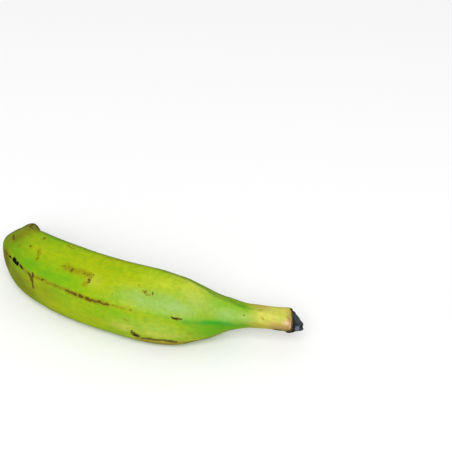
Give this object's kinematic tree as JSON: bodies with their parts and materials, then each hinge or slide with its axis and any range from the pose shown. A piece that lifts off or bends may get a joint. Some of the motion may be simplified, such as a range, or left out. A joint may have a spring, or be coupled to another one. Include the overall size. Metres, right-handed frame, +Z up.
{
  "type": "plantain",
  "caption": "Green plantain with a blunt five-sided body, a narrow neck, a cut stem and dark dried ends, lying on its side.",
  "frame": {"origin": "middle of the footprint, on the surface that the fruit lies on", "axes": "+Z up; +X along the fruit's length towards its cut stem; the outer side of the curve faces -Y"},
  "size_m": [0.2388, 0.074, 0.0487],
  "materials": {
    "peel": "satin",
    "dried_end": "matte"
  },
  "bodies": {
    "root": {"plantain": "peel"}
  },
  "joints": []
}
